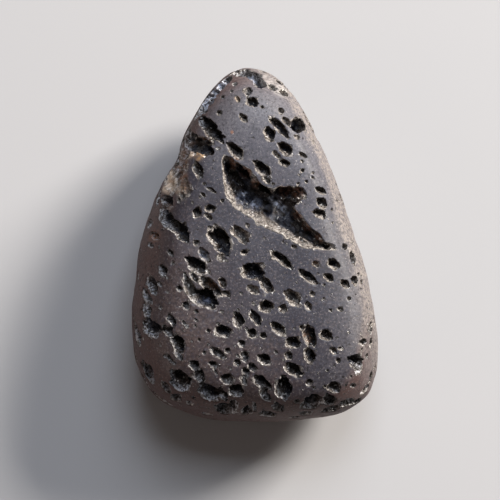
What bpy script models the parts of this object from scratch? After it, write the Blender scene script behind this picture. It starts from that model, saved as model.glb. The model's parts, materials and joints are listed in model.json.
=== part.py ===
"""Lava rock: one tumbled, satin-worn pebble of vesicular basalt.

Metres, +Z up. The stone rests on a small flat facet at z = 0, its narrow end towards +Y.
Places on the top are given on a layout sheet of small squares, x to the right and y towards
the foot, which is laid square to the line of sight from EYE and dropped onto the stone.
"""

import math

import bmesh
import bpy
import numpy as np
from mathutils import Matrix, Vector, noise
from mathutils.bvhtree import BVHTree

MM = 0.001

# Driving dimensions, in millimetres.
SQUARE = 0.085  # side of one square of the layout sheet
HALF_TOP = 5.95  # from the widest level up to the crown
HALF_BASE = 5.8  # from the widest level down to the underside
REST = 5.45  # from the widest level down to the resting facet
PILLOW_TOP = 4.8  # 2 is an ellipsoid, higher is boxier
PILLOW_BASE = 2.4
WEAR = 20.0  # how sharply the worn facets meet: higher is sharper
LUMP = 0.16  # height of the slow unevenness
EYE = Vector((0.0, -28.16, 183.8))  # where the sheet is sighted from
AIM = Vector((0.0, 0.0, 6.0))  # the sheet's middle
SHEET_MIDDLE = (254.6, 242.0)
CENTRE = (252.0, 262.0)  # sheet place of the point that the radii are measured from

OUTLINE = [
    (243, 67), (255, 68), (265, 71), (275, 77), (283, 86), (291, 96), (298, 107), (305, 119),
    (312, 131), (318, 144), (325, 157), (330, 170), (338, 193), (346, 219), (354, 245), (363, 271),
    (369, 298), (374, 324), (377, 338), (377, 352), (376, 368), (372, 382), (365, 396), (354, 404),
    (341, 412), (326, 416), (308, 418), (285, 420), (260, 421), (235, 420), (212, 418), (195, 415),
    (180, 410), (165, 404), (155, 395), (147, 385), (140, 372), (134, 360), (132, 345), (131, 325),
    (131, 310), (133, 295), (135, 280), (136, 265), (138, 250), (141, 240), (145, 225), (150, 210),
    (153, 200), (158, 191), (162, 182), (170, 172), (177, 164), (179, 151), (182, 141), (187, 131),
    (193, 121), (199, 110), (204, 101), (211, 91), (220, 80), (229, 72),
]

# Worn facets: plan heading of the outward normal and its tilt up or down, in degrees, and how far
# above or below the widest level the facet's plane stands over the outline, in millimetres.
FACETS = [
    (21, 20, 2.8),
    (-14, 24, 1.2),
    (86, 38, 2.1),
    (62, 36, 2.4),
    (124, 30, 2.0),
    (140, 54, 4.4),
    (165, 30, 1.5),
    (176, 56, 3.9),
    (192, 30, 1.7),
    (206, 56, 4.1),
    (-130, 28, 1.9),
    (-126, 54, 4.2),
    (-92, 20, 2.3),
    (-94, 52, 4.6),
    (-58, 22, 2.4),
    (35, -38, 1.4),
    (95, -40, 1.2),
    (150, -40, 1.4),
    (-60, -38, 1.8),
    (-125, -42, 1.6),
]

# The long torn cavity: its rim on the sheet, and the line of its deepest floor.
CAVITY_RIM = [
    (222, 157), (229, 155), (238, 162), (248, 166), (256, 176), (263, 185), (272, 187), (283, 185),
    (294, 185), (302, 188), (307, 194), (300, 200), (295, 206), (302, 215), (308, 224), (315, 232),
    (325, 241), (335, 245), (336, 251), (319, 250), (305, 249), (291, 243), (280, 236), (269, 231),
    (258, 226), (252, 220), (241, 214), (231, 205), (224, 192), (222, 173),
]
CAVITY_FLOOR = [
    (229, 164), (241, 176), (253, 187), (264, 196), (277, 206), (291, 217), (308, 231), (323, 244),
]
CAVITY_DEPTH = 2.3

# Vesicles seen on the top: x, y, length, width in squares, heading in degrees from +x to +y.
VESICLES = [
    (253, 103, 15, 8, 28), (211, 129, 26, 10, 40),
    (203, 147, 17, 9, 50), (280, 126, 30, 10, 42),
    (298, 125, 17, 14, 50), (269, 134, 18, 10, 60), (285, 149, 20, 10, 40), (262, 169, 24, 9, 45),
    (197, 170, 21, 10, 68), (167, 204, 20, 10, 40), (173, 226, 42, 12, 44), (210, 209, 13, 8, 15),
    (219, 241, 34, 18, 48), (241, 234, 24, 10, 50), (162, 271, 15, 9, 55),
    (152, 286, 18, 9, 55), (147, 297, 20, 8, 62), (147, 311, 16, 8, 62), (203, 255, 20, 10, 52),
    (196, 265, 31, 13, 37), (206, 297, 28, 16, 35), (199, 283, 34, 13, 50), (186, 306, 10, 9, 0),
    (171, 320, 16, 8, 58), (151, 329, 22, 13, 30), (167, 331, 16, 8, 40), (281, 260, 28, 9, 36),
    (253, 272, 25, 16, 20), (266, 285, 20, 10, 60), (254, 290, 16, 8, 25), (307, 277, 26, 9, 32),
    (292, 297, 22, 12, 40), (266, 307, 16, 12, 20), (283, 309, 11, 9, 0),
    (238, 320, 18, 10, 75), (255, 318, 20, 8, 58), (223, 332, 18, 12, 15),
    (278, 328, 22, 9, 38), (333, 264, 15, 10, 40), (328, 277, 14, 8, 25),
    (326, 336, 15, 11, 10), (293, 343, 17, 11, 15), (309, 341, 26, 12, 75),
    (309, 357, 18, 10, 70), (337, 351, 16, 9, 10), (358, 364, 18, 14, 40), (321, 191, 14, 7, 25),
    (322, 203, 13, 9, 25), (320, 214, 17, 8, 20), (177, 345, 18, 11, 50),
    (178, 381, 26, 15, 50), (199, 376, 13, 9, 30), (208, 392, 26, 12, 38),
    (217, 354, 20, 9, 35), (264, 359, 16, 10, 20), (262, 384, 21, 10, 42),
    (237, 392, 15, 11, 30), (284, 389, 21, 14, 65), (294, 372, 20, 10, 35), (335, 388, 13, 9, 30),
    (312, 404, 16, 11, 20), (148, 372, 22, 9, 52), (222, 408, 18, 8, 20),
    (269, 408, 16, 8, 35),
]

# Vesicles on the sides and underside: plan angle and tilt of the place, length, width, heading.
HIDDEN_VESICLES = [
    (-75, -8, 22, 12, 20), (-110, -20, 26, 13, 35), (-35, -14, 20, 12, 50), (5, -12, 26, 12, 30),
    (40, -18, 18, 11, 60), (75, -14, 22, 11, 20), (125, -16, 20, 10, 45), (160, -12, 24, 12, 30),
    (190, -18, 20, 12, 50), (225, -14, 24, 13, 25), (-60, -42, 24, 14, 40), (60, -44, 22, 12, 30),
    (150, -40, 24, 13, 60), (-10, -40, 24, 12, 35), (100, -38, 18, 11, 45),
]

# Collections and material


def clear_scene():
    for obj in list(bpy.data.objects):
        bpy.data.objects.remove(obj, do_unlink=True)


def stone_material():
    material = bpy.data.materials.new("basalt")
    material.use_nodes = True
    shader = material.node_tree.nodes["Principled BSDF"]
    shader.inputs["Base Color"].default_value = (0.085, 0.079, 0.083, 1.0)
    shader.inputs["Roughness"].default_value = 0.5
    return material


# The worn body


def plan_point(x, y):
    """Plan millimetres of a sheet place at the stone's widest level."""
    lean = math.sin(math.atan2(EYE.z - AIM.z, -EYE.y))
    return Vector(((x - CENTRE[0]) * SQUARE, (CENTRE[1] - y) * SQUARE / lean))


def outline_radii(steps=720, blur=1.6):
    """Radius of the outline at each of `steps` plan angles, softened over `blur` degrees."""
    points = sorted((math.atan2(p.y, p.x), p.length) for p in (plan_point(*o) for o in OUTLINE))
    grid = np.linspace(-math.pi, math.pi, steps, endpoint=False)
    radii = np.interp(grid, *np.array(points).T, period=2 * math.pi)
    offsets = np.arange(-12, 13)
    weights = np.exp(-0.5 * (offsets * 360 / steps / blur) ** 2)
    return sum(w * np.roll(radii, o) for w, o in zip(weights / weights.sum(), offsets))


def facet_planes():
    """Each facet's outward normal divided by its distance from the centre."""
    points = [plan_point(*place) for place in OUTLINE]
    planes = []
    for heading, tilt, height in FACETS:
        turn = math.radians(heading)
        tilt = math.radians(tilt)
        flat = Vector((math.cos(turn), math.sin(turn)))
        support = max(point.dot(flat) for point in points)
        distance = support * math.cos(tilt) + height * math.sin(abs(tilt))
        normal = (flat * math.cos(tilt)).to_3d() + Vector((0, 0, math.sin(tilt)))
        planes.append(normal / distance)
    return planes


def worn_reach(ways, radii, planes):
    """How far the worn surface lies from the centre along each of an array of unit directions."""
    turn = (np.arctan2(ways[:, 1], ways[:, 0]) + math.pi) / (2 * math.pi) * len(radii)
    radius = np.interp(turn, np.arange(len(radii)), radii, period=len(radii))
    top = ways[:, 2] > 0
    power = np.where(top, PILLOW_TOP, PILLOW_BASE)
    half = np.where(top, HALF_TOP, HALF_BASE)
    across = np.hypot(ways[:, 0], ways[:, 1]) / radius
    pillow = across**power + (np.abs(ways[:, 2]) / half) ** power
    worn = (np.maximum(0, ways @ planes.T) ** WEAR).sum(axis=1)
    return (pillow ** (WEAR / power) + worn) ** (-1 / WEAR)


def worn_body():
    """A round ball of points, each pushed out or in along its radius to the worn surface."""
    outline = outline_radii()
    planes = np.array(facet_planes())
    turns = np.linspace(-math.pi, math.pi, len(outline), endpoint=False)
    widest = np.zeros(len(outline))
    for lift in np.radians(np.arange(-24, 25, 3)):
        flat = np.full(len(outline), math.cos(lift))
        level = np.stack((flat * np.cos(turns), flat * np.sin(turns), flat * math.tan(lift)), axis=1)
        widest = np.maximum(widest, worn_reach(level, outline, planes) * flat)
    stretch = outline / widest

    form = bmesh.new()
    bmesh.ops.create_icosphere(form, subdivisions=5, radius=1.0)
    ways = np.array([vert.co.normalized() for vert in form.verts])
    spots = ways * worn_reach(ways, outline, planes)[:, None]
    ways_turn = np.arctan2(ways[:, 1], ways[:, 0])
    spots[:, :2] *= np.interp(ways_turn, turns, stretch, period=2 * math.pi)[:, None]
    for vert, spot in zip(form.verts, spots):
        spot = Vector(spot)
        vert.co = spot * (1.0 + LUMP / spot.length * noise.noise(spot * 0.21))
    return form


def rest_on_facet(form):
    """Moves the form so that its plan box is centred and the resting level is z = 0."""
    xs = [v.co.x for v in form.verts]
    ys = [v.co.y for v in form.verts]
    middle = Vector(((min(xs) + max(xs)) / 2, (min(ys) + max(ys)) / 2, -REST))
    for vert in form.verts:
        vert.co -= middle
    form.normal_update()


def object_from(form, name, collection):
    form.normal_update()
    bmesh.ops.recalc_face_normals(form, faces=form.faces)
    bmesh.ops.scale(form, vec=(MM, MM, MM), verts=form.verts)
    mesh = bpy.data.meshes.new(name)
    form.to_mesh(mesh)
    form.free()
    obj = bpy.data.objects.new(name, mesh)
    collection.objects.link(obj)
    return obj


# Pits


class Sheet:
    """Drops places of the layout sheet onto the body, in millimetres."""

    def __init__(self, form):
        self.tree = BVHTree.FromBMesh(form)
        sight = (AIM - EYE).normalized()
        self.across = sight.cross(Vector((0, 0, 1))).normalized()
        self.up = self.across.cross(sight).normalized()

    def drop(self, x, y):
        """The surface point and outward normal under a sheet place, or just inside the rim."""
        right = (x - SHEET_MIDDLE[0]) * SQUARE
        rise = (SHEET_MIDDLE[1] - y) * SQUARE
        place = AIM + self.across * right + self.up * rise
        for _ in range(30):
            point, normal, _, _ = self.tree.ray_cast(EYE, (place - EYE).normalized())
            if point is not None:
                break
            place = place.lerp(AIM, 0.01)
        return point, normal

    def side(self, turn, tilt):
        """The surface point and outward normal in a direction from the middle of the stone."""
        flat = math.cos(math.radians(tilt))
        turn = math.radians(turn)
        way = Vector((flat * math.cos(turn), flat * math.sin(turn), math.sin(math.radians(tilt))))
        start = Vector((0, 0, REST))
        point, normal, _, _ = self.tree.ray_cast(start + way * 60, -way)
        return point, normal


def pit_cutter(index, point, normal, along, length, width, collection):
    """A ragged flattened bubble, its mouth as long and wide as asked."""
    along = (along - normal * along.dot(normal)).normalized()
    turn = Matrix((along, normal.cross(along), normal)).transposed()
    half = Vector((length / 2, width / 2, 0.62 * width + 0.16 * length)) * 1.06
    form = bmesh.new()
    bmesh.ops.create_icosphere(form, subdivisions=2, radius=1.0)
    for vert in form.verts:
        ragged = 1.0 + 0.22 * noise.noise(vert.co * 1.3 + Vector((index * 3.1, 0, 0)))
        bubble = Vector(a * b for a, b in zip(vert.co, half)) * ragged
        vert.co = point - normal * 0.12 * width + turn @ bubble
    return object_from(form, f"pit_{index:03d}", collection)


def along_sheet(sheet, heading):
    turn = math.radians(heading)
    return sheet.across * math.cos(turn) - sheet.up * math.sin(turn)


def nearest_on(line, place):
    """The nearest point to a place on a line of points."""
    best = None
    for a, b in zip(line, line[1:]):
        step = b - a
        share = min(1.0, max(0.0, (place - a).dot(step) / step.length_squared))
        spot = a + step * share
        if best is None or (spot - place).length < (best - place).length:
            best = spot
    return best


def cavity_cutter(sheet, collection):
    """A closed sack: rings inside the torn rim that draw in towards the deepest line."""
    floor = [Vector(p) for p in CAVITY_FLOOR]
    form = bmesh.new()
    rings = []
    for draw, drop in [(1.0, -1.5), (1.0, 0.0), (0.84, 0.2), (0.62, 0.5), (0.3, 1.0)]:
        ring = []
        for count, rim in enumerate(CAVITY_RIM):
            rim = Vector(rim)
            spine = nearest_on(floor, rim)
            spot = spine + (rim - spine) * draw
            point, _ = sheet.drop(*spot)
            lump = 1.0 + 0.25 * noise.noise(Vector((count * 0.9, drop * 2.0, 0)))
            ring.append(form.verts.new(point - Vector((0, 0, CAVITY_DEPTH * drop * lump))))
        rings.append(ring)
    for above, below in zip(rings, rings[1:]):
        for i in range(len(above)):
            j = (i + 1) % len(above)
            form.faces.new((above[i], above[j], below[j], below[i]))
    form.faces.new(rings[0])
    form.faces.new(rings[-1])
    bmesh.ops.triangulate(form, faces=form.faces)
    return object_from(form, "pit_cavity", collection)


def rest_cutter(collection):
    form = bmesh.new()
    bmesh.ops.create_cube(form, size=1.0)
    for vert in form.verts:
        vert.co = Vector((vert.co.x * 60, vert.co.y * 60, vert.co.z * 10 - 5))
    return object_from(form, "rest_level", collection)


def build():
    clear_scene()
    scene = bpy.context.scene
    scene.unit_settings.system = "METRIC"
    form = worn_body()
    rest_on_facet(form)
    sheet = Sheet(form)

    cutters = bpy.data.collections.new("cutters")
    scene.collection.children.link(cutters)
    rest_cutter(cutters)
    cavity_cutter(sheet, cutters)
    index = 0
    for x, y, length, width, heading in VESICLES:
        point, normal = sheet.drop(x, y)
        way = along_sheet(sheet, heading)
        pit_cutter(index, point, normal, way, length * SQUARE, width * SQUARE, cutters)
        index += 1
    for turn, tilt, length, width, heading in HIDDEN_VESICLES:
        point, normal = sheet.side(turn, tilt)
        way = along_sheet(sheet, heading)
        pit_cutter(index, point, normal, way, length * SQUARE, width * SQUARE, cutters)
        index += 1
    for cutter in cutters.objects:
        cutter.display_type = "WIRE"
        cutter.hide_render = True
    cutters.hide_render = True

    stone = object_from(form, "lava_rock", scene.collection)
    stone.data.materials.append(stone_material())
    stone.data.polygons.foreach_set("use_smooth", [True] * len(stone.data.polygons))

    thin = stone.modifiers.new("even_faces", "DECIMATE")
    thin.ratio = 0.3
    cut = stone.modifiers.new("pits", "BOOLEAN")
    cut.operation = "DIFFERENCE"
    cut.operand_type = "COLLECTION"
    cut.collection = cutters
    cut.solver = "EXACT"


build()
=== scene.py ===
# %% [markdown]
# # A tumbled lava rock
#
# The real stone is a pebble of vesicular basalt. Gas bubbles froze into the lava as it flowed,
# so they are all drawn out one way, and a tumbler later wore the outside to a satin skin that
# stops dead at the mouth of every bubble. The lesson makes it in that order: a worn pebble
# first, then bubbles carved out of it, then a finish that knows skin from broken inside.

# %% Load the frame
import json
import math

import bmesh
import bpy
import numpy as np
from mathutils import Matrix, Vector, noise
from mathutils.bvhtree import BVHTree

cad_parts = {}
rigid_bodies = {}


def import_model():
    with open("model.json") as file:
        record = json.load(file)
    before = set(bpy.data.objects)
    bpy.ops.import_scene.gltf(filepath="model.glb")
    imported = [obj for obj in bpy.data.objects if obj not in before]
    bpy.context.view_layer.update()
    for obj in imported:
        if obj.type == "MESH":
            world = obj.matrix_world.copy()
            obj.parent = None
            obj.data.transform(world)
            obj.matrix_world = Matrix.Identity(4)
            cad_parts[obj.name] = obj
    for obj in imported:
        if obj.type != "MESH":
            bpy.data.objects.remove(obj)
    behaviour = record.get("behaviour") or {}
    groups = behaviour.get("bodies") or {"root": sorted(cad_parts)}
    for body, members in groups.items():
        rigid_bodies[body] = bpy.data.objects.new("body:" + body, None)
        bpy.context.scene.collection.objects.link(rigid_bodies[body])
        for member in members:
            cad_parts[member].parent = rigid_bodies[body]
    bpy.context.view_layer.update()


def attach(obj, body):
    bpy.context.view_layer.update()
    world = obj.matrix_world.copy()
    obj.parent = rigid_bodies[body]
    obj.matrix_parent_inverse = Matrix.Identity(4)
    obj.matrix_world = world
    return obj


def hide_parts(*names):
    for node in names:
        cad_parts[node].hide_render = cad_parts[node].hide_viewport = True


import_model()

MM = 0.001
scene = bpy.context.scene

# %% [markdown]
# ## Where the stone is seen from
#
# Everything on the top is placed on a layout sheet of 500 by 500 small squares, which the
# camera sees exactly filling its frame. A place on the sheet is dropped along the line of
# sight onto the stone, so the sheet is square to the camera and 0.085 mm to the square.
# A long lens from nearly overhead keeps the stone free of perspective swelling.

# %% Camera and layout sheet
SQUARE = 0.085
SHEET = 500
EYE = Vector((0.0, -28.16, 183.8))
AIM = Vector((0.0, 0.0, 6.0))
SHEET_MIDDLE = (254.6, 242.0)
SENSOR = 36.0


def add_object(name, data, collection=scene.collection):
    """A new object in a collection."""
    obj = bpy.data.objects.new(name, data)
    collection.objects.link(obj)
    return obj


camera = add_object("camera", bpy.data.cameras.new("camera"))
scene.camera = camera
camera.location = EYE * MM
camera.rotation_euler = (AIM - EYE).to_track_quat("-Z", "Y").to_euler()
camera.data.sensor_width = SENSOR
camera.data.lens = SENSOR * (AIM - EYE).length / (SHEET * SQUARE)
camera.data.shift_x = (SHEET / 2 - SHEET_MIDDLE[0]) / SHEET
camera.data.shift_y = (SHEET_MIDDLE[1] - SHEET / 2) / SHEET
camera.data.clip_start = 0.01
print("lens, mm:", round(camera.data.lens, 1))

# %% [markdown]
# ## The worn pebble
#
# Without its holes the stone is a pillow with a rounded three-sided outline and soft worn
# facets. A sculpted mesh would do, but a rule is easier to keep true to size: every point of a
# ball is pushed along its radius until a few simple limits, the outline, the crown, the
# underside and each facet plane, add up to one. High powers keep the facets flat and make them
# meet in soft shoulders. A slow noise stops it looking turned.

# %% The outline and the facets
# The pillow's height over and under its widest level, and how far under it the stone rests.
HALF_TOP = 5.95
HALF_BASE = 5.8
REST = 5.45
# How square the pillow's shoulders are above and below, and how crisply the facets meet.
PILLOW_TOP = 4.8
PILLOW_BASE = 2.4
WEAR = 20.0
# Height of the slow unevenness in millimetres, and its lumps to the millimetre.
LUMP = 0.16
LUMP_PITCH = 0.21
# The place on the sheet that every radius starts from.
CENTRE = (252.0, 262.0)

# Places on the sheet, round the stone.
OUTLINE = [
    (243, 67), (255, 68), (265, 71), (275, 77), (283, 86), (291, 96), (298, 107), (305, 119),
    (312, 131), (318, 144), (325, 157), (330, 170), (338, 193), (346, 219), (354, 245), (363, 271),
    (369, 298), (374, 324), (377, 338), (377, 352), (376, 368), (372, 382), (365, 396), (354, 404),
    (341, 412), (326, 416), (308, 418), (285, 420), (260, 421), (235, 420), (212, 418), (195, 415),
    (180, 410), (165, 404), (155, 395), (147, 385), (140, 372), (134, 360), (132, 345), (131, 325),
    (131, 310), (133, 295), (135, 280), (136, 265), (138, 250), (141, 240), (145, 225), (150, 210),
    (153, 200), (158, 191), (162, 182), (170, 172), (177, 164), (179, 151), (182, 141), (187, 131),
    (193, 121), (199, 110), (204, 101), (211, 91), (220, 80), (229, 72),
]

# Plan heading and tilt of each facet in degrees, and its height over the outline in millimetres.
FACETS = [
    (21, 20, 2.8), (-14, 24, 1.2), (86, 38, 2.1), (62, 36, 2.4), (124, 30, 2.0), (140, 54, 4.4),
    (165, 30, 1.5), (176, 56, 3.9), (192, 30, 1.7), (206, 56, 4.1), (-130, 28, 1.9),
    (-126, 54, 4.2), (-92, 20, 2.3), (-94, 52, 4.6), (-58, 22, 2.4), (35, -38, 1.4),
    (95, -40, 1.2), (150, -40, 1.4), (-60, -38, 1.8), (-125, -42, 1.6),
]
print("outline points:", len(OUTLINE), "facets:", len(FACETS))

# %% The pebble's rule
FULL_TURN = 2 * math.pi


def plan_point(x, y):
    """Plan millimetres of a sheet place at the stone's widest level."""
    lean = math.sin(math.atan2(EYE.z - AIM.z, -EYE.y))
    return Vector(((x - CENTRE[0]) * SQUARE, (CENTRE[1] - y) * SQUARE / lean))


def outline_radii(steps=720, blur=1.6):
    """Radius of the outline at each of `steps` plan angles, softened over `blur` degrees."""
    points = sorted((math.atan2(p.y, p.x), p.length) for p in (plan_point(*o) for o in OUTLINE))
    grid = np.linspace(-math.pi, math.pi, steps, endpoint=False)
    radii = np.interp(grid, *np.array(points).T, period=FULL_TURN)
    offsets = np.arange(-12, 13)
    weights = np.exp(-0.5 * (offsets * 360 / steps / blur) ** 2)
    return sum(w * np.roll(radii, o) for w, o in zip(weights / weights.sum(), offsets))


def facet_planes():
    """Each facet's outward normal divided by its distance from the centre."""
    points = [plan_point(*place) for place in OUTLINE]
    planes = []
    for heading, tilt, height in FACETS:
        turn = math.radians(heading)
        tilt = math.radians(tilt)
        flat = Vector((math.cos(turn), math.sin(turn)))
        support = max(point.dot(flat) for point in points)
        distance = support * math.cos(tilt) + height * math.sin(abs(tilt))
        normal = (flat * math.cos(tilt)).to_3d() + Vector((0, 0, math.sin(tilt)))
        planes.append(normal / distance)
    return np.array(planes)


def worn_reach(ways, radii, planes):
    """How far the worn surface lies from the centre along each of an array of directions."""
    turn = (np.arctan2(ways[:, 1], ways[:, 0]) + math.pi) / FULL_TURN * len(radii)
    radius = np.interp(turn, np.arange(len(radii)), radii, period=len(radii))
    top = ways[:, 2] > 0
    power = np.where(top, PILLOW_TOP, PILLOW_BASE)
    half = np.where(top, HALF_TOP, HALF_BASE)
    across = np.hypot(ways[:, 0], ways[:, 1]) / radius
    pillow = across**power + (np.abs(ways[:, 2]) / half) ** power
    worn = (np.maximum(0, ways @ planes.T) ** WEAR).sum(axis=1)
    return (pillow ** (WEAR / power) + worn) ** (-1 / WEAR)


print("facet planes:", len(facet_planes()))

# %% [markdown]
# The facets eat a little into the outline, so the plan is stretched back out to it, and the
# whole is then moved so that it is centred over the origin with its resting level at zero.


# %% Shape the pebble
def worn_points(ways):
    """The worn surface's points, in millimetres from the stone's centre, along unit directions."""
    outline = outline_radii()
    planes = facet_planes()
    turns = np.linspace(-math.pi, math.pi, len(outline), endpoint=False)
    widest = np.zeros(len(outline))
    for lift in np.radians(np.arange(-24, 25, 3)):
        flat = np.full(len(outline), math.cos(lift))
        level = np.stack((flat * np.cos(turns), flat * np.sin(turns), flat * math.tan(lift)), 1)
        widest = np.maximum(widest, worn_reach(level, outline, planes) * flat)
    spots = ways * worn_reach(ways, outline, planes)[:, None]
    turn = np.arctan2(ways[:, 1], ways[:, 0])
    spots[:, :2] *= np.interp(turn, turns, outline / widest, period=FULL_TURN)[:, None]
    lumps = [LUMP / np.linalg.norm(s) * noise.noise(Vector(s) * LUMP_PITCH) for s in spots]
    return spots * (1.0 + np.array(lumps)[:, None])


def pebble(subdivisions):
    """The worn stone in millimetres, before its holes, resting at z = 0."""
    form = bmesh.new()
    bmesh.ops.create_icosphere(form, subdivisions=subdivisions, radius=1.0)
    spots = worn_points(np.array([vert.co.normalized() for vert in form.verts]))
    low, high = spots.min(axis=0), spots.max(axis=0)
    spots -= ((low[0] + high[0]) / 2, (low[1] + high[1]) / 2, -REST)
    for vert, spot in zip(form.verts, spots):
        vert.co = spot
    form.normal_update()
    return form


worn = pebble(subdivisions=7)
skin_tree = BVHTree.FromBMesh(worn)
print("pebble faces:", len(worn.faces))


# %% Drop places of the sheet onto the stone
SIGHT = (AIM - EYE).normalized()
ACROSS = SIGHT.cross(Vector((0, 0, 1))).normalized()
UPWARD = ACROSS.cross(SIGHT).normalized()


def drop(x, y):
    """The surface point and outward normal under a place of the sheet, or just inside it."""
    offset = ACROSS * ((x - SHEET_MIDDLE[0]) * SQUARE) + UPWARD * ((SHEET_MIDDLE[1] - y) * SQUARE)
    # A place just off the stone is drawn in, a hundredth at a time, until it meets it.
    for pull in range(40):
        aim = AIM + offset * (1 - 0.01 * pull)
        point, normal, _, _ = skin_tree.ray_cast(EYE, (aim - EYE).normalized())
        if point is not None:
            return point, normal
    raise ValueError(f"sheet place {x}, {y} is off the stone")


def sheet_way(heading):
    """The direction on the sheet at a heading in degrees, measured from right towards the foot."""
    turn = math.radians(heading)
    return ACROSS * math.cos(turn) - UPWARD * math.sin(turn)


print("crown at, mm:", [round(c, 2) for c in drop(*SHEET_MIDDLE)[0]])


# %% [markdown]
# ## Ragged bubbles
#
# No vesicle is a clean ellipsoid: neighbouring bubbles press on it and crystals stick through
# its wall. A dozen balls with uneven walls are enough, because each is turned, stretched and
# sized anew wherever it is used. They stay whole and closed, so that a Boolean can trust them.


# %% A dozen bubbles
def mesh_object(form, name, collection=scene.collection):
    """A new object from a closed form, with its faces turned outwards."""
    form.normal_update()
    bmesh.ops.recalc_face_normals(form, faces=form.faces)
    mesh = bpy.data.meshes.new(name)
    form.to_mesh(mesh)
    form.free()
    return add_object(name, mesh, collection)


# Height and pitch of the dents in a wall of radius 1, from broad to fine.
DENTS = [(0.28, 1.3), (0.27, 3.0), (0.16, 7.0)]
NOISE_STEP = 7.3


def ragged_bubble(index, subdivisions, collection):
    """A closed ball with an uneven wall, another one for each index."""
    form = bmesh.new()
    bmesh.ops.create_icosphere(form, subdivisions=subdivisions, radius=1.0)
    shift = Vector((NOISE_STEP * index, 0, 0))
    for vert in form.verts:
        way = vert.co.normalized()
        broad, *fine = (high * noise.noise(way * pitch + shift) for high, pitch in DENTS)
        vert.co = way * (1.0 + broad + sum(fine))
    return mesh_object(form, f"bubble_{index:02d}", collection)


BUBBLES = 12
helpers = bpy.data.collections.new("helpers")
bubbles = bpy.data.collections.new("bubbles")
for index in range(BUBBLES):
    ragged_bubble(index, 4, bubbles)

# %% [markdown]
# ## Where the bubbles lie on the top
#
# The larger vesicles on the top are set one by one, because their pattern is what makes this
# stone this stone. Each row is a place on the sheet, a length and a width in squares, then a
# heading unless it is the usual 35 degrees, and how deep it goes unless that is 1, which is as
# deep as a bubble cut across its middle. The bubbles rose as the lava slid, so their axes lean:
# the wall on the lower side slopes and the one across from it is undercut. Over each mouth lies
# a second, wider and shallow bubble, a dish that breaks the rim away unevenly.

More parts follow.
